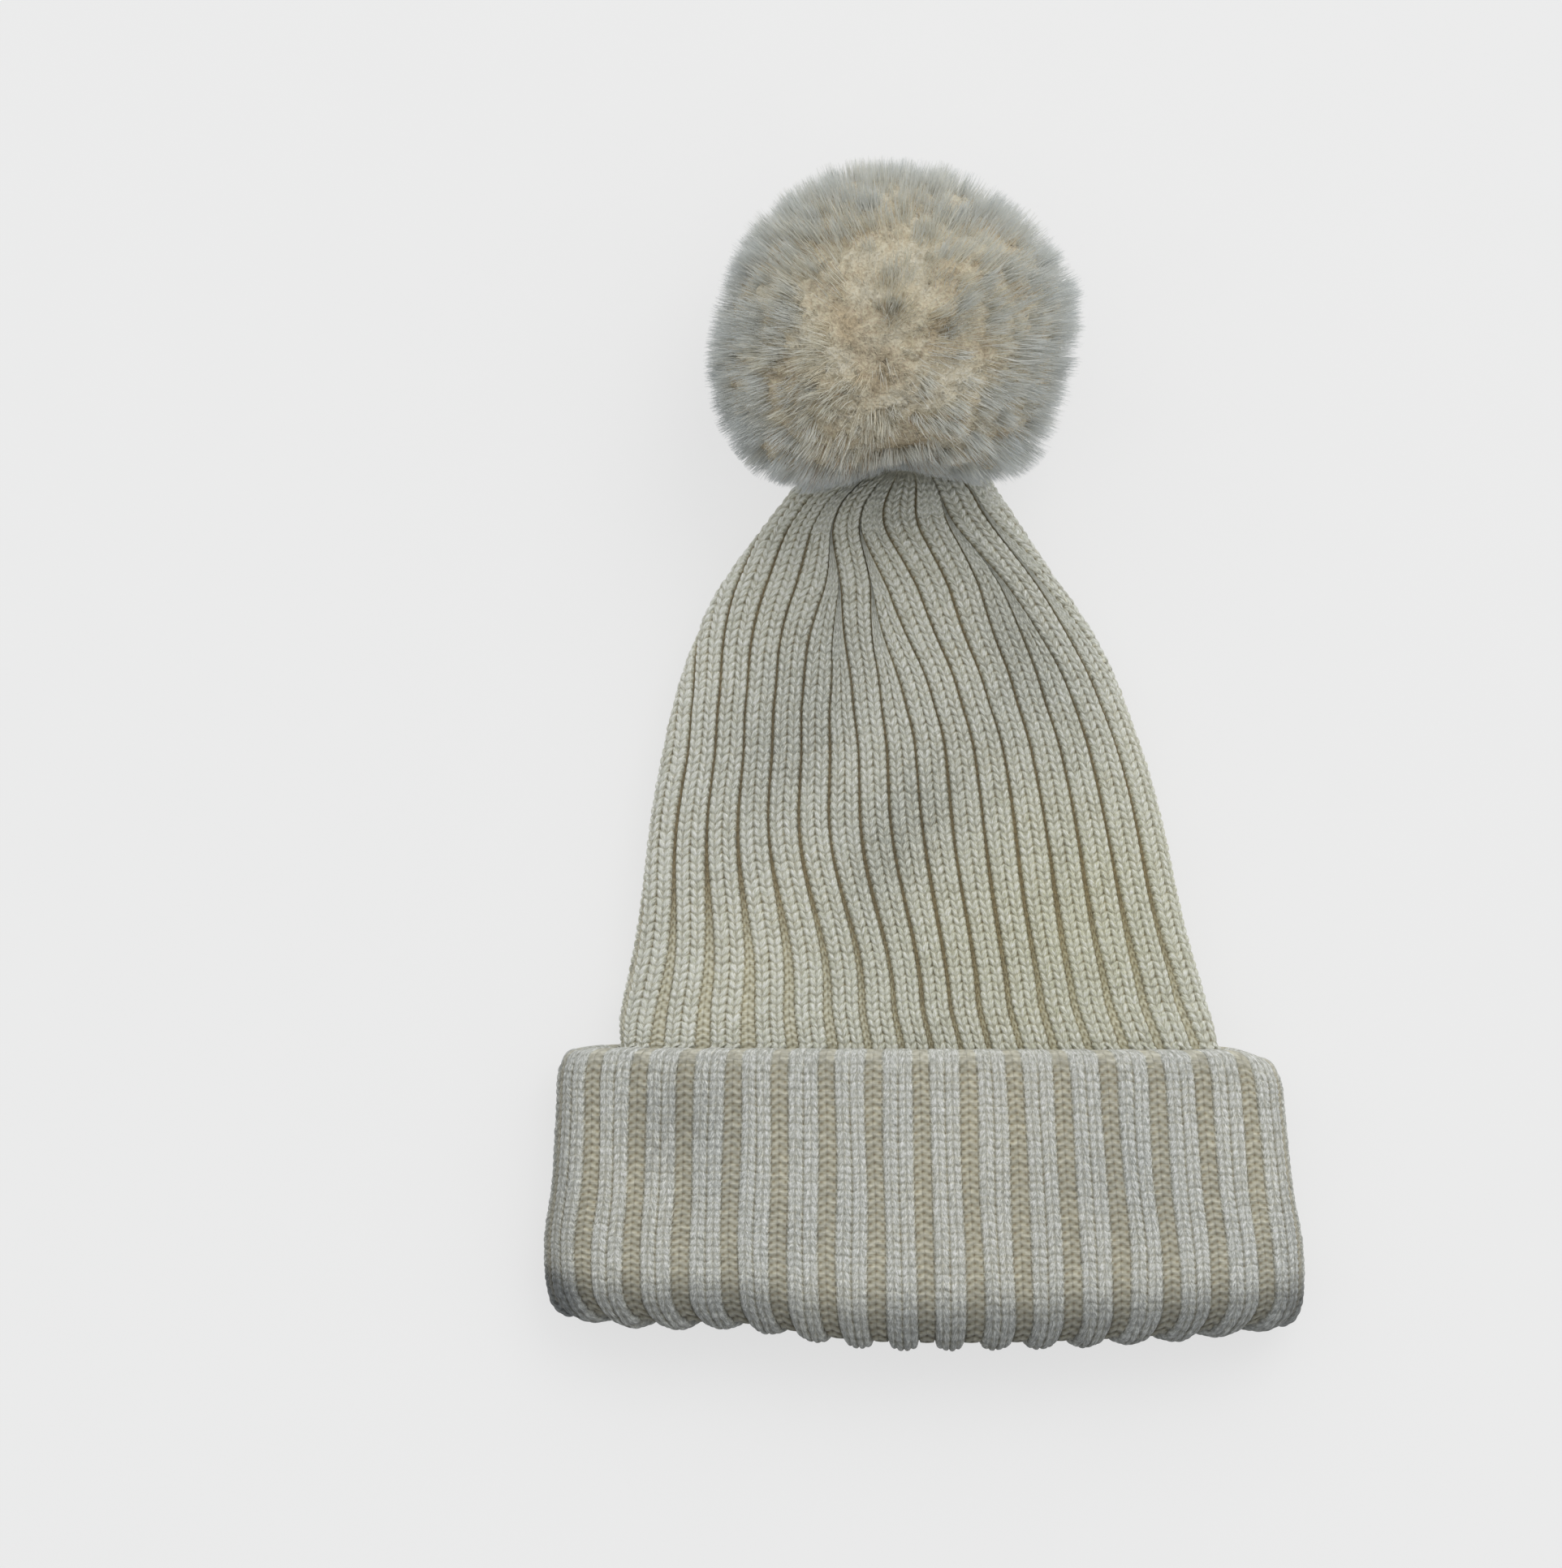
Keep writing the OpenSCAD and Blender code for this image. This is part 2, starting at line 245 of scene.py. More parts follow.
def shell_points(sec, samples):
    """Points at evenly spread shares of every section's girth, and 1 where they face up."""
    share = np.linspace(0, 1, samples)
    turn = np.linspace(0, 2 * math.pi, 2 * samples - 1)
    side, up = -np.sin(turn), -np.cos(turn)
    points = np.zeros((len(sec.d), samples, 3))
    front = np.zeros((len(sec.d), samples))
    for i in range(len(sec.d)):
        e = 2 / sec.power[i]
        x = sec.half_w[i] * np.sign(side) * np.abs(side) ** e
        h = sec.half_t[i] * np.sign(up) * np.abs(up) ** e
        girth = np.cumsum(np.hypot(np.diff(x), np.diff(h) * sec.flatten[i]))
        length = np.concatenate([[0], girth])
        length /= length[-1]
        x, h = np.interp(share, length, x), np.interp(share, length, h)
        y = FOLD_Y + sec.d[i] - h * math.sin(sec.lean[i])
        points[i] = np.stack([sec.x[i] + x, y, sec.z[i] + h * math.cos(sec.lean[i])], -1)
        front[i] = smooth(h / sec.half_t[i] * 1.6)
    return points, front


def dense_surface(sec, cuff_part, samples=721):
    """Points, outward normals and row directions of a shell, all round its girth."""
    points, front = shell_points(sec, samples)
    points = drape(points, sec.d[:, None], front, cuff_part[:, None])
    across = np.roll(points[:, :-1], -1, 1) - np.roll(points[:, :-1], 1, 1)
    across = np.concatenate([across, across[:, :1]], 1)
    along = np.gradient(points, axis=0)
    along /= np.linalg.norm(along, axis=-1, keepdims=True) + 1e-9
    normal = np.cross(across, along)
    normal /= np.linalg.norm(normal, axis=-1, keepdims=True) + 1e-9
    return points, normal, along


def on_surface(dense, share):
    """The dense surface's arrays at the columns' shares of the girth, row by row."""
    samples = np.linspace(0, 1, dense[0].shape[1])
    out = []
    for array in dense:
        got = np.empty(share.shape + (3,))
        for i in range(len(share)):
            for k in range(3):
                got[i, :, k] = np.interp(share[i] % 1.0, samples, array[i, :, k])
        out.append(got)
    return out


# ---------------------------------------------------------------- columns
# Where each column lies: q from -1 to 1 across its rib, v from 0 to 1 across its valley
local = np.arange(PERIOD)
rib_u = np.clip((local - P_COLS - K_COLS) / K_COLS, -1, 1)
rib_q = 0.6 * rib_u + 0.4 * np.sin(math.pi / 2 * rib_u)
in_rib = (local >= P_COLS) & (local <= P_COLS + 2 * K_COLS)
valley_v = np.where(local < P_COLS, 0.5 + local / (2 * P_COLS),
                    (local - P_COLS - 2 * K_COLS) / (2 * P_COLS))
column = np.arange(RIBS * PERIOD + 1)
col_rib = (column // PERIOD) % RIBS
col_q = np.tile(rib_q, RIBS + 1)[:len(column)]
col_v = np.clip(np.tile(valley_v, RIBS + 1)[:len(column)], 0, 1)
col_in_rib = np.tile(in_rib, RIBS + 1)[:len(column)]
col_wale = col_rib * 2 + (col_q > 0)
col_leg = np.where(col_q > 0, col_q - 0.5, col_q + 0.5) * 2     # -1 to 1 across its wale
# The step from each column to the next: whether it is in a rib, and how wide it is there
interval_k = (local >= P_COLS) & (local < P_COLS + 2 * K_COLS)
interval_q = np.where(interval_k, np.abs(np.diff(np.append(rib_q, -1.0))), 0)

# Fully fashioned crown: {rib that stays: where the three ribs beside it end}
LINES = {16: (189, 206, 225), 24: (197, 213, 230), 33: (190, 207, 226), 7: (186, 203, 222)}
FRONT_TWIST = 0.065         # how far the crown's front turns, as a share of its girth


def rib_share(d):
    """How much of its width each rib keeps at d, and whether it still shows knit wales."""
    keep = np.ones((len(d), RIBS))
    knit = np.ones((len(d), RIBS))
    for line, ends in LINES.items():
        for k, end in enumerate(ends, start=1):
            most = 0.45 if k == len(ends) else 1.0
            narrowed = most * smooth((d - end + 24) / 50)
            for rib in ((line - k) % RIBS, (line + k) % RIBS):
                keep[:, rib] = 1 - narrowed
                knit[:, rib] = 1 - smooth((d - end + 1.2) / 2.4)
    return keep, knit


def column_shares(d, knit_width, purl_width, keep, phase, open_valley=1.0):
    """Share of the girth at which each column lies. Rib 0 is at the centre back."""
    k = np.where(interval_k, interval_q / 2, 0)
    p = np.where(interval_k, 0, 1 / (2 * P_COLS))
    purl_width = purl_width[:, None] * open_valley * np.ones((1, RIBS))
    widths = knit_width[:, None, None] * k + purl_width[..., None] * p
    widths = (keep[:, :, None] * widths).reshape(len(d), -1)
    total = np.concatenate([np.zeros((len(d), 1)), np.cumsum(widths, 1)], 1)
    centre = total[:, PERIOD // 2]
    share = (total - centre[:, None]) / total[:, -1:] + phase
    twist = FRONT_TWIST * smooth((d[:, None] - 206) / 32)
    share = share - twist * bell(share - phase - 0.5, 0.2)
    ribs_along = column / PERIOD
    wobble = 0.0006 * np.sin(d[:, None] / 9 + ribs_along * 2.4) * np.sin(ribs_along * 1.1)
    return share + wobble


# ---------------------------------------------------------------- stitches
# Heights of rib, leg and purl, then how the legs splay and bead, how much painted shade darkens the
# rib's edge, how square the legs are, how far the wales stagger, and how deep the pits between
# stitches are (the pits also get painted shade)
BODY_STYLE = dict(rib_h=1.2, leg_h=0.62, purl_h=0.4, splay=0.2, bead=0.3, edge=0.35,
                  leg_power=2.2, stagger=0.2, pit=1.0)
CUFF_STYLE = dict(rib_h=0.8, leg_h=0.46, purl_h=0.55, splay=0.1, bead=0.45, edge=0.12,
                  leg_power=2.6, stagger=0.5, pit=0.7)


def knit_stitches(t, side, grow, tone_and_sparkle, style):
    """Height and lightness of the knit wales at phase t, and 1 where it isn't their edge."""
    q = np.abs(col_q)[None, :]
    off_leg = np.abs((side - 0.5 - style["splay"] * (t - 0.5)) / 0.5)
    leg = np.clip(1 - off_leg ** style["leg_power"], 0, 1) ** 0.6
    bead = style["bead"] + (1 - style["bead"]) * np.sin(math.pi * t) ** 0.6
    pit = style["pit"] * bell(side - 1, 0.25) * near(t, 0, 0.2)
    top = smooth((1 - q) / 0.12)
    rib = (1 - np.clip(q, 0, 1) ** 4) ** 0.5
    stitch = (0.8 + 0.4 * grow) * leg * bead * style["leg_h"] - 0.3 * pit
    # Painted shade and light: darker in the pits and at the rib's edge, lighter on the legs'
    # crests.
    light = 0.32 + 0.58 * leg * bead + 0.16 * (tone_and_sparkle - 0.5) - 0.25 * pit
    light = light * (1 - style["edge"] * smooth((q - 0.88) / 0.12))
    return rib * style["rib_h"] + stitch * top, light, top


def purl_stitches(t, valley, style):
    """Height and lightness of the purl wales at phase t: chevrons with holes between them."""
    v = col_v[None, :]
    arm = np.abs(2 * v - 1)
    chevron = 0.5 + 0.5 * np.cos(2 * math.pi * (t + 0.5 * arm - 0.5))
    holes = bell(v - 0.5, 0.1) * near(t, 0, 0.2) + bell(arm - 0.72, 0.2) * near(t, 0.62, 0.18)
    edge = smooth(np.minimum(v, 1 - v) / 0.06)
    height = (0.35 + 0.65 * chevron) * edge * style["purl_h"] * (1 - 0.5 * holes)
    # Painted shade: darker in the holes between the chevrons and at the valley's edges.
    light = valley * (0.7 + 0.4 * chevron) * (1 - 0.75 * holes) * (0.75 + 0.25 * edge)
    return height, light


def stitch_relief(course, style, vee, valley):
    """Height, shift along the rib and lightness of every point, from its course and column.

    vee is how far each stitch's legs spread along the rib, and valley how light the purl is, as
    painted shade.
    The fourth array is a purl row's height, for ribs that change to purl.
    """
    number = np.floor(course + 1e-6).astype(int)
    t = np.clip(course - number, 0, 1)[:, None]
    chance = rng.random((3, 2 * RIBS, COURSES_DRAWN))
    stitch = (col_wale[None, :], number[:, None] % COURSES_DRAWN)
    # The second random number is each stitch's lightness: partly random tone, partly painted
    # sparkle.
    grow, tone_and_sparkle, slip = (chance[k][stitch] for k in range(3))
    side = np.abs(col_leg)[None, :]
    knit, knit_light, top = knit_stitches(t, side, grow, tone_and_sparkle, style)
    purl, purl_light = purl_stitches(t, valley, style)
    stagger = style["stagger"] * COURSE * (chance[2][col_wale, 0] - 0.5)
    shift = (vee * COURSE * side + 0.2 * (slip - 0.5) + stagger) * top
    is_rib = col_in_rib[None, :]
    light = np.clip(np.where(is_rib, knit_light, purl_light), 0, 1)
    arch = 0.5 * np.abs(np.sin(math.pi * col_q * 1.5))[None, :]
    rows = 0.5 + 0.5 * np.cos(2 * math.pi * (t - arch))
    return np.where(is_rib, knit, purl), np.where(is_rib, shift, 0), light, rows


# ---------------------------------------------------------------- meshes
def fill_mesh(mesh, verts, faces):
    """Fills a mesh from arrays of quads and triangles, and returns its loops' vertices."""
    loops = np.concatenate([f.ravel() for f in faces]).astype(np.int32)
    sizes = np.concatenate([np.full(len(f), f.shape[1]) for f in faces])
    mesh.vertices.add(len(verts))
    mesh.vertices.foreach_set("co", (verts * MM).astype(np.float32).ravel())
    mesh.loops.add(len(loops))
    mesh.loops.foreach_set("vertex_index", loops)
    mesh.polygons.add(len(sizes))
    starts = np.concatenate([[0], np.cumsum(sizes)[:-1]]).astype(np.int32)
    mesh.polygons.foreach_set("loop_start", starts)
    mesh.update(calc_edges=True)
    mesh.polygons.foreach_set("use_smooth", np.ones(len(sizes), bool))
    return loops


def make_object(name, verts, faces, body, material, uv, attributes=None):
    """A smooth-shaded object that rides on a body, with its map and its points' attributes."""
    mesh = bpy.data.meshes.new(name)
    loops = fill_mesh(mesh, verts, faces)
    layer = mesh.uv_layers.new(name="OFBake")
    layer.data.foreach_set("uv", uv[loops].astype(np.float32).ravel())
    for key, values in (attributes or {}).items():
        kind, field = ("FLOAT", "value") if values.ndim == 1 else ("FLOAT_VECTOR", "vector")
        layer = mesh.attributes.new(key, kind, "POINT")
        layer.data.foreach_set(field, values.astype(np.float32).ravel())
    mesh.materials.append(material)
    obj = bpy.data.objects.new(name, mesh)
    bpy.context.scene.collection.objects.link(obj)
    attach(obj, body)
    return obj


def grid_uv(rows, cols):
    """A grid's map: 0 to 1 along its columns and its rows."""
    u, v = np.meshgrid(np.linspace(0, 1, cols), np.linspace(0, 1, rows))
    return np.stack([u, v], -1).reshape(-1, 2)


def grid_faces(closed_up):
    """Quads and triangles of a grid; closed_up marks the points that lie on the one before."""
    rows, cols = closed_up.shape
    index = np.arange(rows * cols).reshape(rows, cols)
    own = np.where(closed_up, 0, np.arange(cols)[None, :])
    own = np.maximum.accumulate(own, axis=1)
    index = index[:, :1] + own
    a, b = index[:-1, :-1].ravel(), index[:-1, 1:].ravel()
    c, d = index[1:, 1:].ravel(), index[1:, :-1].ravel()
    low, high = a == b, c == d
    quads = np.stack([a, b, c, d], 1)[~low & ~high]
    tri_low = np.stack([b, c, d], 1)[low & ~high]
    tri_high = np.stack([a, b, c], 1)[~low & high]
    return [quads, np.concatenate([tri_low, tri_high])]


def knit_gores(name, points, share, count, body, material, attributes, node):
    """The knit as gores side by side, small enough for the library."""
    rows = len(points)
    made = []
    for g in range(count):
        first = g * (RIBS * PERIOD) // count
        last = (g + 1) * (RIBS * PERIOD) // count + 1
        closed = np.zeros((rows, last - first), bool)
        closed[:, 1:] = np.diff(share[:, first:last], axis=1) < 1e-7
        own = {k: a[:, first:last].reshape((-1,) + a.shape[2:]) for k, a in attributes.items()}
        verts = points[:, first:last].reshape(-1, 3)
        obj = make_object(f"{name}_{g + 1}", verts, grid_faces(closed), body, material,
                          grid_uv(rows, last - first), own)
        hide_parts(node)
        made.append(obj)
    return made


# ---------------------------------------------------------------- materials
def srgb(r, g, b):
    """A colour given as 0 to 255 on screen, as linear light."""
    linear = (((c / 255 + 0.055) / 1.055) ** 2.4 if c > 10 else c / 255 / 12.92 for c in (r, g, b))
    return tuple(linear) + (1.0,)


def grey(level):
    return srgb(level, level, level)


class Nodes:
    """Short calls for building a material's node tree."""

    def __init__(self, name, roughness, **inputs):
        self.material = bpy.data.materials.new(name)
        self.material.use_nodes = True
        self.tree = self.material.node_tree
        self.shader = self.tree.nodes["Principled BSDF"]
        self.shader.inputs["Roughness"].default_value = roughness
        for key, value in inputs.items():
            self.shader.inputs[key.replace("_", " ").title()].default_value = value

    def specular(self, level):
        self.shader.inputs["Specular IOR Level"].default_value = level

    def add(self, kind, **settings):
        node = self.tree.nodes.new("ShaderNode" + kind)
        for key, value in settings.items():
            if hasattr(node, key):
                setattr(node, key, value)
            else:
                node.inputs[key.replace("_", " ").title()].default_value = value
        return node

    def link(self, output, node, socket):
        self.tree.links.new(output, node.inputs[socket])

    def object_place(self):
        return self.add("TexCoord").outputs["Object"]

    def noise(self, scale, detail, vector, rough=0.5):
        node = self.add("TexNoise", scale=scale, detail=detail)
        node.inputs["Roughness"].default_value = rough
        self.link(vector, node, "Vector")
        return node.outputs["Fac"]

    def attribute(self, name, kind="Fac"):
        return self.add("Attribute", attribute_name=name).outputs[kind]

    def math(self, operation, a, b):
        node = self.add("Math", operation=operation)
        for k, value in enumerate((a, b)):
            if isinstance(value, (int, float)):
                node.inputs[k].default_value = value
            else:
                self.tree.links.new(value, node.inputs[k])
        return node.outputs[0]

    def ramp(self, factor, *stops):
        node = self.add("ValToRGB")
        band = node.color_ramp
        while len(band.elements) < len(stops):
            band.elements.new(0.5)
        for element, (position, colour) in zip(band.elements, stops):
            element.position = position
            element.color = colour
        self.link(factor, node, "Fac")
        return node.outputs["Color"]

    def mix(self, factor, a, b, blend):
        node = self.add("Mix", data_type="RGBA", blend_type=blend)
        for socket, value in ((0, factor), (6, a), (7, b)):
            if isinstance(value, (int, float, tuple)):
                node.inputs[socket].default_value = value
            else:
                self.tree.links.new(value, node.inputs[socket])
        return node.outputs[2]

    def bump(self, height, distance):
        node = self.add("Bump")
        node.inputs["Strength"].default_value = 1.0
        node.inputs["Distance"].default_value = distance * MM
        self.link(height, node, "Height")
        self.link(node.outputs["Normal"], self.shader, "Normal")

    def colour(self, output):
        self.link(output, self.shader, "Base Color")
        return self.material


WARM_YARN = srgb(255, 252, 212)
# Painted bounce light: a warm tint on the purl columns down in the valleys.
PURL_WARM_SHADE = srgb(253, 249, 240)
# Painted shade: a cool grey multiplied in by the attribute that marks darker patches, the fold's
# underside and the turn-up's sides.
PAINTED_SHADE_GREY = srgb(136, 139, 144)


def knit_material(name, groove_shade, low, crest):
    """Yarn: painted shade between stitches, in the purl and in darker patches; painted light on the
    stitches and in bright fibre highlights and specks; fibres and a few uneven patches.
    """
    n = Nodes(name, 0.9, sheen_weight=0.2, sheen_roughness=0.5)
    n.specular(0.25)
    purl = n.attribute("purl")
    # Painted shade and light: this ramp darkens the grooves between stitches and lightens the
    # stitches' crests.
    base = n.ramp(n.attribute("relief_shade"), (0.0, groove_shade), (0.34, low), (0.8, crest), (1.0, crest))
    base = n.mix(n.attribute("tint"), base, WARM_YARN, "MULTIPLY")
    base = n.mix(purl, base, PURL_WARM_SHADE, "MULTIPLY")
    # Painted shade: darker patches, the fold's underside and the turn-up's sides.
    base = n.mix(n.attribute("painted_shade"), base, PAINTED_SHADE_GREY, "MULTIPLY")
    along_yarn = n.add("Mapping")
    along_yarn.inputs["Scale"].default_value = (1.0, 0.3, 1.0)
    n.link(n.attribute("stitch", "Vector"), along_yarn, "Vector")
    streak = n.noise(3.2, 3.0, along_yarn.outputs["Vector"], 0.7)
    # Partly painted highlight: fibre streaks whose light ends are bright strokes of highlight on
    # the legs.
    fibres_and_highlights = n.ramp(streak, (0.3, srgb(128, 128, 126)), (0.5, grey(188)), (0.68, grey(246)))
    strength = n.math("SUBTRACT", 0.8, n.math("MULTIPLY", purl, 0.5))
    base = n.mix(strength, base, fibres_and_highlights, "OVERLAY")
    place = n.object_place()
    # Partly painted highlight: fine specks of the yarn, the bright ones painted glints.
    speck_and_glint = n.noise(900.0, 2.0, place)
    base = n.mix(0.5, base, n.ramp(speck_and_glint, (0.3, grey(160)), (0.7, grey(215))), "OVERLAY")
    cloud = n.noise(28.0, 3.0, place)
    uneven = n.ramp(cloud, (0.3, srgb(172, 175, 178)), (0.7, srgb(202, 200, 192)))
    base = n.mix(0.35, base, uneven, "OVERLAY")
    n.bump(n.math("ADD", streak, speck_and_glint), 0.22)
    return n.colour(base)


def yarn_run(course, slant):
    """Coordinates for yarn fibres: the second runs along the legs of the stitches."""
    side = np.abs(col_leg)[None, :] * 1.9
    along = course[:, None] * COURSE
    across_yarn = side * 0.85 - along * 0.5 * slant
    along_yarn = side * 0.5 * slant + along * 0.85
    apart = np.broadcast_to(col_wale * 3.7 + (col_leg > 0) * 1.9, along_yarn.shape)
    return np.stack([across_yarn, along_yarn, apart], -1)


def in_purl(rows):
    """1 at the columns of the purl wales."""
    return np.broadcast_to(np.where(col_in_rib, 0.0, 1.0)[None, :], (rows, len(column)))


# ---------------------------------------------------------------- knitted body
RIB_W = 6.8                 # a rib's width, as a share with the purl's
PURL_AT = (84, 105, 140, 175, 246)
PURL_W = (1.9, 1.3, 0.55, 0.4, 0.45)


def body_tint(points):
    """Where the yarn looks warmer."""
    return np.clip(patches(points[..., 0], points[..., 1] - FOLD_Y, WARM_KNIT), 0, 1)


def body_painted_shade(points):
    """Painted shade: soft darker patches over the front's dips, a painted shadow under the pom, and
    a little darker towards +x.
    """
    x, v = points[..., 0], points[..., 1] - FOLD_Y
    return np.clip(0.27 * patches(x, v, KNIT_SHADE_PATCHES) + 0.09 * smooth((x + 40) / 70), 0, 1)


def body_rows():
    """The rows' distances from the fold, wider apart where the turn-up hides them."""
    hidden = np.arange(BODY_START, CUFF_H - 4, 2 * STEP)
    shown = np.arange(hidden[-1] + 2 * STEP, KNIT_LEN, STEP)
    return np.concatenate([hidden, shown, [KNIT_LEN]])


def under_cuff(d):
    """1 under the turn-up and 0 above it."""
    return 1 - smooth((d - CUFF_H + 4) / 16)


def body_columns(d):
    """The columns' shares of the girth, how much of each rib is kept and knit, and purl light,
    painted shade that darkens narrow valleys.
    """
    keep, knit = rib_share(d)
    purl = np.interp(d, PURL_AT, PURL_W)
    rib = np.arange(RIBS)[None, :]
    low = 1 - smooth((d[:, None] - 100) / 50)
    opened = 0.8 * bell(rib - 11, 3.0) - 0.35 * bell(rib - 17, 3.0) + 0.15 * bell(rib - 23, 2.5)
    open_valley = 1 + low * opened
    spread = 1 + low * (0.12 * bell(rib - 10.5, 3.0) - 0.14 * bell(rib - 17, 3.5))
    share = column_shares(d, np.full(len(d), RIB_W), purl, keep * spread, 0.0, open_valley)
    # Painted shade: a narrow purl valley is darker, a wide one lighter.
    valley = 0.12 + 0.56 * smooth((purl[:, None] * open_valley[:, col_rib] - 0.7) / 1.4)
    return share, keep[:, col_rib], knit[:, col_rib], valley


def crown_decreases(height, shift, light, rows, keep, knit):
    """Turns the stitches of ribs that end to purl rows, and closes them to smooth patches."""
    is_knit = knit * np.ones_like(height)
    flat = (is_knit < 1) & col_in_rib[None, :]
    height = np.where(flat, height * is_knit + (1 - is_knit) * (0.9 + 0.6 * rows), height)
    light = np.where(flat, light * is_knit + (1 - is_knit) * (0.6 + 0.35 * rows), light)
    shift = np.where(flat, shift * is_knit, shift)
    closing = 1 - keep
    height = height + (0.8 + 0.4 * rows - height) * closing
    light = np.where(col_in_rib[None, :], light, light * (1 - closing) + 0.7 * closing)
    return height, shift, light


def build_body(material):
    d = body_rows()
    share, keep, knit, valley = body_columns(d)
    course = (d - d[0]) / COURSE
    vee = (0.42 + 0.1 * smooth((d - 95) / 50))[:, None]
    height, shift, light, rows = stitch_relief(course, BODY_STYLE, vee, valley)
    height, shift, light = crown_decreases(height, shift, light, rows, keep, knit)
    end = smooth((KNIT_LEN - d) / 7)[:, None]
    start = smooth((d - BODY_START) / 6)[:, None]
    base = -1.2 - 0.9 * (1 - smooth((d - CUFF_H + 1) / 9)[:, None])
    height = (base + height) * end * start + (1 - start) * -1.2 + (1 - end) * -0.3
    light = light * end + 0.45 * (1 - end)
    p, n, t = on_surface(dense_surface(body_sections(d), under_cuff(d)), share)
    points = p + n * height[..., None] + t * (shift * end * start)[..., None]
    attributes = {"relief_shade": light, "stitch": yarn_run(course, 0.9), "tint": body_tint(points),
                  "painted_shade": body_painted_shade(points), "purl": in_purl(len(d))}
    return knit_gores("knit_body", points, share, BODY_GORES, "hat", material, attributes,
                      "knit_body")


# ---------------------------------------------------------------- lining
LINER_COLS = RIBS * 12
LINER_STEP = 1.4


def liner_sections():
    """The inside of the body, from the hole in the crown back to the fold."""
    steps = np.arange(KNIT_LEN - 2.0, BODY_START, -LINER_STEP)
    d = np.concatenate([[KNIT_LEN, KNIT_LEN - 0.6], steps, [BODY_START]])
    sec = body_sections(d, WALL)
    at_hole = smooth((d - KNIT_LEN + 8) / 5)
    sec.half_w = sec.half_w * (1 - at_hole) + HOLE_R * at_hole
    sec.half_t = sec.half_t * (1 - at_hole) + HOLE_R * at_hole
    return d, sec


def liner_attributes(d, ribs):
    """The yarn's attributes on the lining: its ribs' lightness is painted shade between them, and
    no stitch, tint or shade patch is drawn.
    """
    relief_shade = np.clip(0.45 + 0.4 * ribs + np.zeros((len(d), 1)), 0, 1)
    across = np.linspace(0, 4 * RIBS, LINER_COLS + 1)[None, :]
    place = np.stack(np.broadcast_arrays(across, (d / COURSE)[:, None], 0.0), -1)
    none = np.zeros(relief_shade.size)
    return {"relief_shade": relief_shade.reshape(-1), "stitch": place.reshape(-1, 3), "tint": none,
            "painted_shade": none, "purl": none}


def build_liner(material):
    d, sec = liner_sections()
    share = np.broadcast_to(np.linspace(0, 1, LINER_COLS + 1), (len(d), LINER_COLS + 1))
    p, n, _ = on_surface(dense_surface(sec, under_cuff(d)), share)
    p[:, -1:] = p[:, :1]
    wave = np.cos(np.linspace(0, 2 * math.pi * RIBS, LINER_COLS + 1))[None, :]
    ribs = np.tanh(2.2 * wave)
    fade = (smooth((KNIT_LEN - d) / 10) * smooth((d - BODY_START) / 3))[:, None]
    ripple = 0.15 * np.cos(2 * math.pi * d / COURSE * 0.5)[:, None]
    height = (0.55 - 0.5 * ribs + ripple) * fade
    points = p + n * height[..., None]
    faces = grid_faces(np.zeros(points.shape[:2], bool))
    obj = make_object("knit_liner", points.reshape(-1, 3), faces, "hat", material,
                      grid_uv(len(d), LINER_COLS + 1), liner_attributes(d, ribs))
    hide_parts("knit_body")
    return obj


# ---------------------------------------------------------------- cuff
FOLD_LOW = 4.2              # the middle of the fold's outline
FOLD_INSIDE = 3.2           # how far the fold reaches on the inside
FOLD_OUTSIDE = 8.0          # and on the outside
FOLD_ROWS = 46
EDGE_R = 2.25               # the turn-up's rolled free edge
EDGE_ROWS = 16
POCKET_ROWS = 20            # on the inner face, towards the body
CUFF_RIB_W = 8.4            # shares of a rib and a purl valley
CUFF_PURL_W = 4.6


def cuff_path():
    """Distance from the fold and depth below the outer face, along the cuff's section.

    Also how many points come before the outer face, on it, and on the rolled edge after it.
    """
    through = CUFF_WALL + CUFF_GAP + WALL
    half = through / 2
    inner = [(BODY_START - 0.4, through), (BODY_START - 0.5, through)]
    fold = []
    for a in np.linspace(0, math.pi, FOLD_ROWS):
        reach = FOLD_INSIDE if a < math.pi / 2 else FOLD_OUTSIDE
        fold.append((FOLD_LOW + reach * (1 - math.sin(a)), half + half * math.cos(a)))
    first = FOLD_LOW + FOLD_OUTSIDE + STEP
    outer = [(y, 0.0) for y in np.arange(first, CUFF_H - EDGE_R, STEP)]
    roll = [(CUFF_H - EDGE_R + EDGE_R * math.sin(a), EDGE_R - EDGE_R * math.cos(a))
            for a in np.linspace(0, math.pi, EDGE_ROWS)[1:]]
    deep = np.linspace(CUFF_H - EDGE_R - 1.5, BODY_START + 0.2, POCKET_ROWS)
    pocket = [(y, CUFF_WALL) for y in deep]
    ledge = [(BODY_START - 0.35, CUFF_WALL + 0.6), (BODY_START - 0.4, through)]
    path = np.array(inner + fold + outer + roll + pocket + ledge)
    return path, len(inner) + len(fold), len(outer), len(roll)


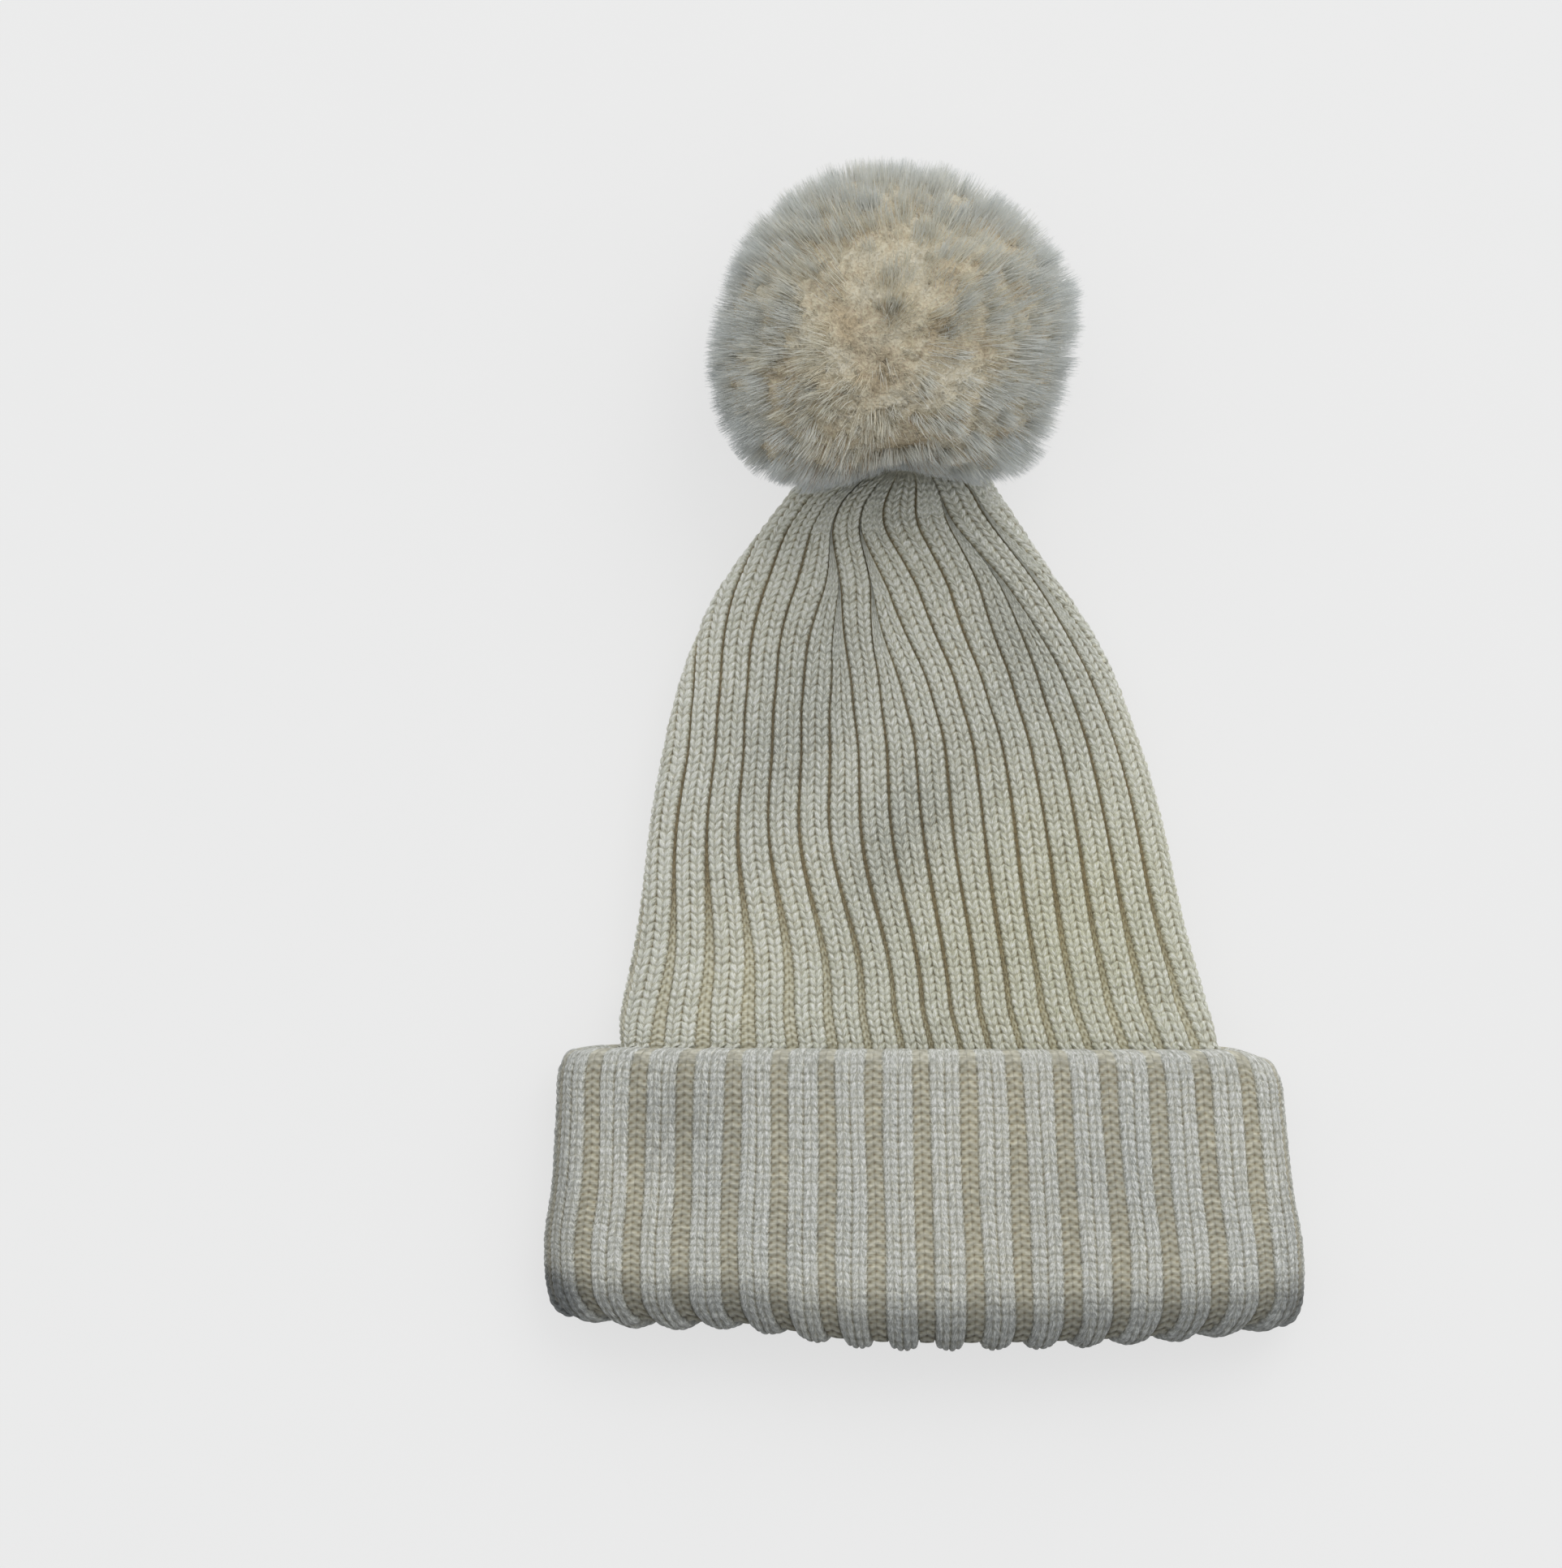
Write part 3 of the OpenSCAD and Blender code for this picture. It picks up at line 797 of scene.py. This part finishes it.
def cuff_relief(d, height, shift, outside, pocket, edge_zone):
    """Fills the ribs out over the fold, and flattens them at the free edge and inside."""
    index = np.arange(len(d))
    fold_zone = 1 + 0.7 * bell(d - FOLD_LOW, 5) * outside
    detail = (1 - 0.75 * edge_zone) * np.where(pocket, 0.25, 1.0)
    tuck = np.where(index <= 2, index / 3, 1.0)
    tuck = tuck * np.where(index >= len(d) - 3, (len(d) - 1 - index) / 3, 1.0)
    base = -1.1 + 0.6 * edge_zone
    at_fold = 0.9 * bell(d - FOLD_LOW, 4)[:, None] * outside[:, None]
    lobe = at_fold * np.where(col_in_rib, 1 - col_q ** 2, 0)
    height = (base[:, None] + height * (detail * fold_zone)[:, None] + lobe) * tuck[:, None]
    height = np.where(pocket[:, None], -np.abs(height) * 0.2, height)
    return height, shift * (detail * tuck)[:, None]


def cuff_painted_shade(points, d, outside):
    """Painted shade under the fold, over the turn-up's dips and at its sides."""
    x, v = points[..., 0], points[..., 1] - FOLD_Y
    under = smooth((23 - d) / 14)[:, None] * outside[:, None]
    sides = 0.5 * (1 - smooth((x + 103) / 15)) + 0.2 * smooth((x - 92) / 10)
    return np.clip(0.72 * under + patches(x, v, CUFF_SHADE_PATCHES) + sides, 0, 1)


def build_cuff(material):
    path, before, n_outer, n_roll = cuff_path()
    d, depth = path[:, 0], path[:, 1]
    walk = np.concatenate([[0], np.cumsum(np.hypot(np.diff(d), np.diff(depth)))])
    course = (walk - walk[before]) / COURSE + 20
    index = np.arange(len(d))
    outside = index < before + n_outer
    pocket = index >= before + n_outer + n_roll
    edge_zone = (smooth((d - CUFF_H + 6) / 4) * (index >= before)).astype(float)
    height, shift, light, _ = stitch_relief(course, CUFF_STYLE, -0.35, 0.56)
    height, shift = cuff_relief(d, height, shift, outside, pocket, edge_zone)
    light = light * (1 - 0.5 * edge_zone[:, None]) + 0.4 * edge_zone[:, None]
    share = column_shares(d, np.full(len(d), CUFF_RIB_W), np.full(len(d), CUFF_PURL_W),
                          np.ones((len(d), RIBS)), 0.5 / RIBS)
    sec = Section(d, half_w=CUFF_HALF_W * cuff_width(d / CUFF_H) - depth,
                  half_t=CUFF_HALF_T - depth, z=CUFF_Z, lean=0.0, power=3.8, flatten=1.25, x=0.0)
    p, n, t = on_surface(dense_surface(sec, np.ones(len(d))), share)
    points = p + n * height[..., None] + t * shift[..., None]
    points[-1] = points[0]
    attributes = {"relief_shade": light, "stitch": yarn_run(course, -0.4), "tint": np.zeros(light.shape),
                  "painted_shade": cuff_painted_shade(points, d, outside), "purl": in_purl(len(d))}
    return knit_gores("cuff", points, share, CUFF_GORES, "cuff", material, attributes,
                      "turn_up_cuff")


# ---------------------------------------------------------------- pom
BALL_CENTRE = CLOSURE + AXIS * 30.3
FUR_CENTRE = BALL_CENTRE + np.array([-8.0, 0.5, 0.0])       # where the strands spread from
TO_CROWN = (CLOSURE - FUR_CENTRE) / np.linalg.norm(CLOSURE - FUR_CENTRE)
POM_CENTRE = np.array([-4.4, CLOSURE[1] + 26.0, (fur_low[2] + fur_high[2]) / 2])
POM_HALF = np.array([50.6, 48.6, (fur_high[2] - fur_low[2]) / 2 - 0.5])
CORE_SHARE = 0.88           # the underfur's size
ROOT_SHARE = 0.66           # where the strands start
STRANDS = 90000
TUFTS = 1700
FUR_ZONES = 6               # meshes that the pile is made as
STRAND_T = np.linspace(0, 1, 5)     # points along a strand, 0 at its root
STRAND_W = 0.28
TIP_W = 0.04
CREAM_WAY = unit(np.array([-0.06, 0.26, 0.96]))
PEACH_WAY = unit(np.array([-0.13, -0.3, 0.94]))
LOW_FRONT = unit(np.array([0.0, -0.8, 0.6]))


def to_skin(direction):
    """Distance from the pile's centre to the fur's outer shape along each direction."""
    a = direction / POM_HALF
    b = (FUR_CENTRE - POM_CENTRE) / POM_HALF
    aa, ab, bb = (a * a).sum(-1), (a * b).sum(-1), (b * b).sum(-1)
    reach = (-ab + np.sqrt(np.maximum(ab * ab - aa * (bb - 1), 0))) / aa
    azimuth = np.arctan2(direction[..., 0], direction[..., 1])
    lump = (0.012 * np.sin(3 * azimuth + 0.8) + 0.01 * np.sin(5 * azimuth + 2.0)
            + 0.012 * np.sin(4 * direction[..., 2] + 3 * direction[..., 0]))
    shoulder = 0.022 * bell(np.abs(azimuth) - 0.8, 0.4)
    reach = reach * (1 + lump + shoulder)
    side = np.abs(direction[..., 0] * reach + FUR_CENTRE[0])
    above = smooth((direction[..., 2] * reach + FUR_CENTRE[2] - CLOSURE[2] - 9) / 6)
    front_y = CLOSURE[1] - 3.0 - 4.0 * above - 9.5 * smooth(side / 31) * (1 - 0.35 * above)
    parted = (FUR_CENTRE[1] - front_y) / np.maximum(-direction[..., 1], 1e-3)
    return (reach ** -16 + parted ** -16) ** (-1 / 16)


def slumped(points):
    """The pile leans a little to one side above its middle."""
    points[..., 0] += 3.4 * bell(points[..., 1] - POM_CENTRE[1] - 11, 18)
    return points


def spread_directions(count, jitter, seed):
    """Directions spread evenly round the ball, away from the crown."""
    chance = np.random.default_rng(seed)
    k = np.arange(count) + 0.5
    height = 1 - 2 * k / count
    angle = k * math.pi * (3 - math.sqrt(5))
    flat = np.sqrt(1 - height ** 2)
    v = np.stack([flat * np.cos(angle), flat * np.sin(angle), height], -1)
    v = unit(v + chance.normal(0, jitter, v.shape))
    return v[v @ TO_CROWN < 0.94]


def fur_shade(direction):
    """Place on the fur's colour ramp: grey at the sides as painted shade, lighter where strands
    face up and, at the sides, towards +y as painted light, then cream, and peach in the middle.
    """
    # Painted light and shade: strands facing up and towards +y sit higher on the ramp and are
    # lighter; those at the sides stay grey and darker.
    painted_light_up = smooth((direction[:, 2] - 0.3) / 0.55)
    cream = bell(unit(direction) @ CREAM_WAY - 1, 0.09)
    peach = bell(unit(direction) @ PEACH_WAY - 1, 0.05)
    painted_light_above = 0.1 * smooth(direction[:, 1]) * (1 - painted_light_up)
    return 0.17 + 0.15 * painted_light_up + 0.13 * cream + 0.2 * peach + painted_light_above


def nearest_tuft(root_dir, tuft_dir, chunk=4000):
    """The tuft that each strand belongs to."""
    nearest = np.empty(len(root_dir), int)
    for start in range(0, len(root_dir), chunk):
        part = slice(start, start + chunk)
        nearest[part] = np.argmax(root_dir[part] @ tuft_dir.T, 1)
    return nearest


def tuft_habits(tuft_dir, chance):
    """Each tuft's length, shade, how strongly it gathers its strands, and how it leans."""
    count = len(tuft_dir)
    ragged = smooth((-tuft_dir[:, 1] - 0.3) / 0.4) * smooth(tuft_dir[:, 2] / 0.3)
    length = 1 + chance.normal(0, 1, count) * (0.014 + 0.08 * ragged)
    shade = chance.normal(0, 0.05, count)
    pull = chance.uniform(0.35, 0.7, count)
    facing = bell(tuft_dir[:, 2] - 1, 0.16)[:, None]
    lean = chance.normal(0, 1, (count, 3)) * (0.10 + 0.4 * facing)
    return length, shade, pull, lean


def strand_lines(root_dir, tuft_dir, length, pull, lean, chance):
    """Points along every strand, from its root to its tip; each argument has a row a strand."""
    count = len(root_dir)
    pull = pull[:, None]
    aside = unit(root_dir * [1, 1, 0] + [0.02, 0.03, 0])
    parting = bell(root_dir[:, 2] - 1, 0.22)[:, None] * aside
    tip_dir = unit(root_dir * (1 - pull) + 0.16 * parting + (tuft_dir + lean) * pull
                   + chance.normal(0, 0.03, (count, 3)))
    long = np.clip(length * (1 - np.abs(chance.normal(0, 0.04, count))), 0.8, 1.02)
    tip = FUR_CENTRE + tip_dir * (to_skin(tip_dir) * long)[:, None]
    root = FUR_CENTRE + root_dir * (to_skin(root_dir) * ROOT_SHARE)[:, None]
    bend = (root + tip) / 2 + lean * 7 + chance.normal(0, 0.8, (count, 3))
    at_root, at_bend, at_tip = (1 - STRAND_T) ** 2, 2 * STRAND_T * (1 - STRAND_T), STRAND_T ** 2
    lines = (at_root[None, :, None] * root[:, None] + at_bend[None, :, None] * bend[:, None]
             + at_tip[None, :, None] * tip[:, None])
    return slumped(lines)


def strand_edges(lines, chance):
    """The two edges of every strand, which is a narrow ribbon that tapers to its tip."""
    count = len(lines)
    along = unit(np.gradient(lines, axis=1))
    side = unit(np.cross(along, unit(chance.normal(0, 1, (count, 3)))[:, None]))
    taper = (STRAND_W * (1 - STRAND_T) ** 0.7 + TIP_W) / 2
    width = taper * chance.uniform(0.7, 1.3, count)[:, None]
    return lines - side * width[..., None], lines + side * width[..., None]


def strand_shade(root_dir, tuft_shade, chance):
    """Every strand's place on the colour ramp, with some brown ones low on the front."""
    shade = fur_shade(root_dir) + tuft_shade + chance.normal(0, 0.05, len(root_dir))
    brown = chance.random(len(root_dir)) < 0.14 * bell(root_dir @ LOW_FRONT - 1, 0.12)
    return np.clip(np.where(brown, 0.93, shade), 0.02, 0.98)


def build_strands(name, left, right, shade, material):
    """A mesh of strands; its map holds each strand's shade and the place along it."""
    count, steps = left.shape[:2]
    verts = np.concatenate([left, right], 1).reshape(-1, 3)
    ring = np.array([[i, i + 1, steps + i + 1, steps + i] for i in range(steps - 1)])
    faces = (ring[None] + (np.arange(count) * 2 * steps)[:, None, None]).reshape(-1, 4)
    along = np.tile(np.concatenate([STRAND_T, STRAND_T]), count)
    uv = np.stack([np.repeat(shade, 2 * steps), along], -1)
    obj = make_object(name, verts, [faces], "pom", material, uv)
    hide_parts("pom_fur")


def build_fur(material):
    """The pile, as zones round the pom's axis, small enough for the library."""
    chance = np.random.default_rng(5)
    root_dir = spread_directions(STRANDS, 0.01, 1)
    tuft_dir = spread_directions(TUFTS, 0.03, 2)
    nearest = nearest_tuft(root_dir, tuft_dir)
    habits = [habit[nearest] for habit in tuft_habits(tuft_dir, chance)]
    length, tuft_shade, pull, lean = habits
    lines = strand_lines(root_dir, tuft_dir[nearest], length, pull, lean, chance)
    left, right = strand_edges(lines, chance)
    shade = strand_shade(root_dir, tuft_shade, chance)
    turn = np.arctan2(root_dir[:, 0], root_dir @ np.cross(AXIS, [1, 0, 0]))
    zone = ((turn + math.pi) / (2 * math.pi) * FUR_ZONES).astype(int)
    zone = np.clip(zone, 0, FUR_ZONES - 1)
    for z in range(FUR_ZONES):
        own = zone == z
        build_strands(f"pom_fur_{z + 1}", left[own], right[own], shade[own], material)


def build_core(material, rows=120, cols=240):
    """The dense underfur that fills the pom."""
    chance = np.random.default_rng(9)
    polar, turn = np.meshgrid(np.linspace(0, math.pi, rows),
                              np.linspace(0, 2 * math.pi, cols + 1), indexing="ij")
    v = np.stack([np.sin(polar) * np.cos(turn), np.cos(polar), -np.sin(polar) * np.sin(turn)], -1)
    lumps = chance.normal(0, 0.014, (rows, cols + 1)) * np.sin(polar)
    lumps[:, -1] = lumps[:, 0]
    base_cut = smooth((0.98 - v @ TO_CROWN) / 0.2)
    reach = to_skin(v) * CORE_SHARE * (1 + lumps) * (0.45 + 0.55 * base_cut)
    points = slumped(FUR_CENTRE + v * reach[..., None])
    poles = np.zeros(points.shape[:2], bool)
    poles[[0, -1], 1:] = True
    faces = [f[:, ::-1] for f in grid_faces(poles)]
    obj = make_object("pom_underfur", points.reshape(-1, 3), faces, "pom", material,
                      grid_uv(rows, cols + 1))
    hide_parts("pom_fur")


def fur_material():
    """Fur: each strand's own shade, with warmer roots, darkened as painted shade deep in the pile.
    """
    n = Nodes("fur", 0.6, sheen_weight=0.2, sheen_roughness=0.4)
    n.specular(0.2)
    split = n.add("SeparateXYZ")
    n.link(n.add("UVMap", uv_map="OFBake").outputs["UV"], split, "Vector")
    # Partly painted shade: the roots are warmer, and darker as shade deep in the pile.
    along = n.ramp(split.outputs["Y"], (0.0, srgb(208, 190, 164)), (0.3, srgb(238, 229, 212)),
                   (0.65, srgb(251, 249, 244)), (1.0, srgb(254, 255, 255)))
    shade = n.ramp(split.outputs["X"], (0.0, srgb(188, 192, 194)), (0.17, srgb(218, 222, 223)),
                   (0.34, srgb(224, 225, 221)), (0.5, srgb(226, 224, 212)),
                   (0.66, srgb(226, 217, 196)), (0.82, srgb(200, 174, 140)),
                   (1.0, srgb(132, 108, 82)))
    return n.colour(n.mix(1.0, shade, along, "MULTIPLY"))


def underfur_material():
    """Underfur: warm cream, uneven and rough."""
    n = Nodes("underfur", 0.95)
    place = n.object_place()
    fine = n.noise(1200.0, 2.0, place)
    wide = n.noise(90.0, 3.0, place)
    n.bump(fine, 0.8)
    warm = n.ramp(wide, (0.3, srgb(186, 170, 142)), (0.5, srgb(204, 194, 170)),
                  (0.7, srgb(212, 206, 188)))
    rough = n.ramp(fine, (0.3, grey(140)), (0.7, grey(220)))
    return n.colour(n.mix(0.5, warm, rough, "OVERLAY"))


# ---------------------------------------------------------------- small CAD parts
def simple_material(name, colour, roughness, scale, depth, metallic=0.0, contrast=0.2):
    """One colour with a grain of its own scale, in its shade and its bump (depth in mm)."""
    n = Nodes(name, roughness, metallic=metallic)
    grain = n.noise(scale, 3.0, n.object_place())
    n.bump(grain, depth)
    shade = n.ramp(grain, (0.3, grey(150)), (0.7, grey(226)))
    return n.colour(n.mix(contrast, colour, shade, "OVERLAY"))


def dress_cad():
    """Gives every CAD node that stays visible a material of its own kind."""
    snap = simple_material("snap_metal", srgb(200, 200, 196), 0.28, 400, 0.01, 1.0, 0.1)
    spring = simple_material("spring_steel", srgb(190, 190, 188), 0.3, 400, 0.01, 1.0, 0.1)
    looks = {
        "back_seam": simple_material("seam_yarn", srgb(176, 174, 160), 0.9, 1500, 0.3),
        "care_label": simple_material("woven_label", srgb(228, 226, 220), 0.6, 2500, 0.05),
        "crown_gather": simple_material("gathered_knit", srgb(178, 176, 162), 0.9, 700, 0.8),
        "crown_draw_thread": simple_material("draw_thread", srgb(184, 180, 164), 0.8, 2500, 0.2),
        "crown_patch": simple_material("felt", srgb(120, 120, 122), 0.95, 1200, 0.4),
        "snap_eyelet": snap,
        "snap_stud": snap,
        "snap_socket": snap,
        "snap_cap": snap,
        "socket_spring": spring,
        "pom_washer": simple_material("washer_plastic", srgb(226, 224, 216), 0.45, 500, 0.02),
        "pom_backing": simple_material("fur_backing", srgb(196, 186, 162), 0.9, 1600, 0.3),
        "pom_stuffing": simple_material("stuffing", srgb(232, 230, 224), 0.95, 600, 1.0),
        "pom_draw_thread": simple_material("pom_thread", srgb(200, 192, 172), 0.8, 2500, 0.2),
    }
    for name, material in looks.items():
        mesh = frame["nodes"][name].data
        mesh.materials.clear()
        mesh.materials.append(material)


# ---------------------------------------------------------------- stage
VIEW_CENTRE = (-35.6, -6.8)
VIEW_HEIGHT = 1600.0
VIEW_PLANE_Z = 12.0
VIEW_SPAN = 425.8           # what the long side of the picture covers at VIEW_PLANE_Z
VIEW_ROLL = math.radians(1.4)
SENSOR = 36.0
CLIP_END = 50               # metres

FLOOR_HALF = 6              # metres
FLOOR_GLOW = 0.635
FLOOR_LOW = (0.224, 0.224, 0.224, 1)
FLOOR_HIGH = (0.227, 0.227, 0.227, 1)
DOME_COLOUR = (0.985, 0.995, 1.0, 1)
DOME_LEAN = (0.12, 0.46, 0.29)      # how much brighter the dome is towards each axis
DOME_LEVEL = 0.56
KEY_PLACE = (0.9, 1.6, 2.6)         # metres
KEY_SIZE = 1.8
KEY_POWER = 18
KEY_COLOUR = (1.0, 0.985, 0.96)


def build_camera():
    data = bpy.data.cameras.new("camera")
    data.sensor_width = SENSOR
    data.lens = SENSOR * (VIEW_HEIGHT - VIEW_PLANE_Z) / VIEW_SPAN
    data.clip_end = CLIP_END
    camera = bpy.data.objects.new("camera", data)
    camera.location = (VIEW_CENTRE[0] * MM, VIEW_CENTRE[1] * MM, VIEW_HEIGHT * MM)
    camera.rotation_euler = (0, 0, -VIEW_ROLL)
    bpy.context.scene.collection.objects.link(camera)
    bpy.context.scene.camera = camera


def build_floor():
    """A pale light table."""
    n = Nodes("floor", 0.9)
    n.specular(0.0)
    n.shader.inputs["Emission Color"].default_value = (1, 1, 1, 1)
    n.shader.inputs["Emission Strength"].default_value = FLOOR_GLOW
    grain = n.noise(40.0, 2.0, n.object_place())
    paper = n.colour(n.ramp(grain, (0.3, FLOOR_LOW), (0.7, FLOOR_HIGH)))
    mesh = bpy.data.meshes.new("floor")
    corners = [(x * FLOOR_HALF, y * FLOOR_HALF, 0) for x, y in ((-1, -1), (1, -1), (1, 1), (-1, 1))]
    mesh.from_pydata(corners, [], [(0, 1, 2, 3)])
    mesh.materials.append(paper)
    floor = bpy.data.objects.new("floor", mesh)
    bpy.context.scene.collection.objects.link(floor)


def build_dome():
    """Soft light from all round, brighter beyond the pom."""
    world = bpy.data.worlds.new("studio")
    world.use_nodes = True
    tree = world.node_tree
    place = tree.nodes.new("ShaderNodeTexCoord")
    lean = tree.nodes.new("ShaderNodeVectorMath")
    lean.operation = "DOT_PRODUCT"
    lean.inputs[1].default_value = DOME_LEAN
    level = tree.nodes.new("ShaderNodeMath")
    level.operation = "ADD"
    level.inputs[1].default_value = DOME_LEVEL
    background = tree.nodes["Background"]
    background.inputs["Color"].default_value = DOME_COLOUR
    tree.links.new(place.outputs["Generated"], lean.inputs[0])
    tree.links.new(lean.outputs["Value"], level.inputs[0])
    tree.links.new(level.outputs[0], background.inputs["Strength"])
    bpy.context.scene.world = world


def build_key_light():
    """A large soft lamp above the hat, aimed at its middle."""
    data = bpy.data.lights.new("key", "AREA")
    data.shape = "DISK"
    data.size = KEY_SIZE
    data.energy = KEY_POWER
    data.color = KEY_COLOUR
    light = bpy.data.objects.new("key", data)
    light.location = KEY_PLACE
    light.rotation_euler = (-Vector(KEY_PLACE)).to_track_quat("-Z", "Y").to_euler()
    bpy.context.scene.collection.objects.link(light)


def main():
    build_camera()
    build_floor()
    build_dome()
    build_key_light()
    body_yarn = knit_material("body_knit", srgb(118, 102, 72), srgb(170, 167, 150),
                              srgb(212, 213, 203))
    cuff_yarn = knit_material("cuff_knit", srgb(112, 92, 72), srgb(164, 162, 148),
                              srgb(195, 196, 191))
    for obj in build_body(body_yarn) + [build_liner(body_yarn)]:
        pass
    for obj in build_cuff(cuff_yarn):
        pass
    build_core(underfur_material())
    build_fur(fur_material())
    dress_cad()
    bpy.context.scene.view_settings.view_transform = "Standard"


main()
